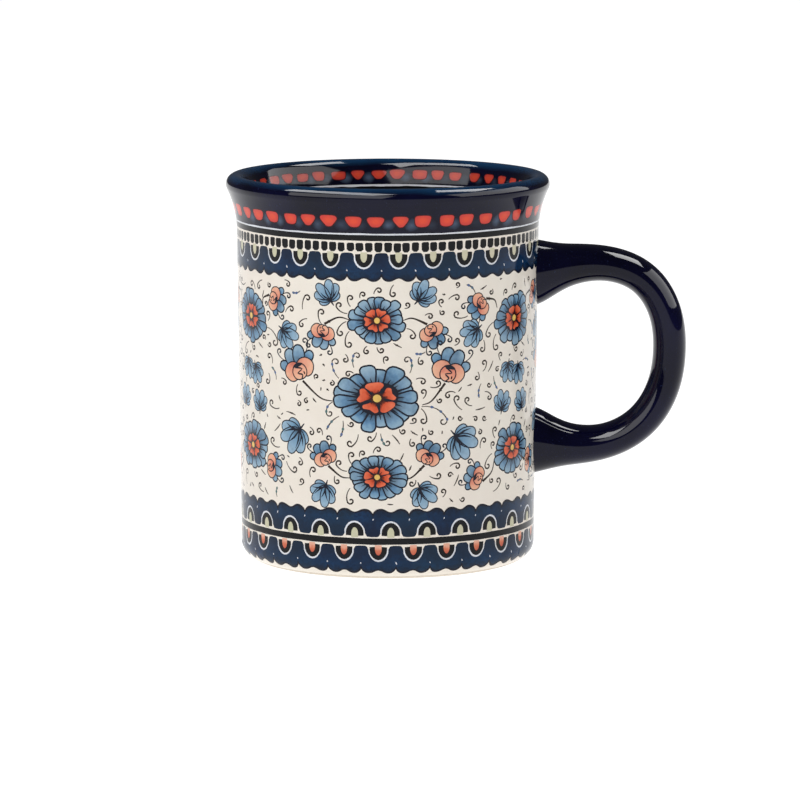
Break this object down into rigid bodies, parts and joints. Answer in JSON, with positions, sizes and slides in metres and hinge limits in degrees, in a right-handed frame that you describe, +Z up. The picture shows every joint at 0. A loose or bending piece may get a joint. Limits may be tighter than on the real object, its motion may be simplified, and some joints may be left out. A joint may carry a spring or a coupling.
{
  "type": "mug",
  "caption": "Straight-sided stoneware mug with a flared lip, a looped side handle and a foot ring, painted and glazed, for hot drinks.",
  "frame": {"origin": "centre of the foot ring, on the surface that the mug stands on", "axes": "+Z up along the cup's axis; the handle points along +X; -Y is the painted front"},
  "size_m": [0.1325, 0.093, 0.111],
  "materials": {
    "bare_clay": "matte, unglazed stoneware",
    "luting_slip": "matte, fired slip",
    "painted_clear_glaze": "gloss, clear glaze over underglaze painting",
    "clear_glaze": "gloss",
    "cobalt_glaze": "gloss, dark cobalt"
  },
  "bodies": {
    "root": {"clay_body": "bare_clay", "handle": "bare_clay", "upper_slip_joint": "luting_slip", "lower_slip_joint": "luting_slip", "outside_glaze": "painted_clear_glaze", "inside_glaze": "clear_glaze", "underside_glaze": "clear_glaze", "rim_cobalt_glaze": "cobalt_glaze", "handle_cobalt_glaze": "cobalt_glaze"}
  },
  "joints": []
}
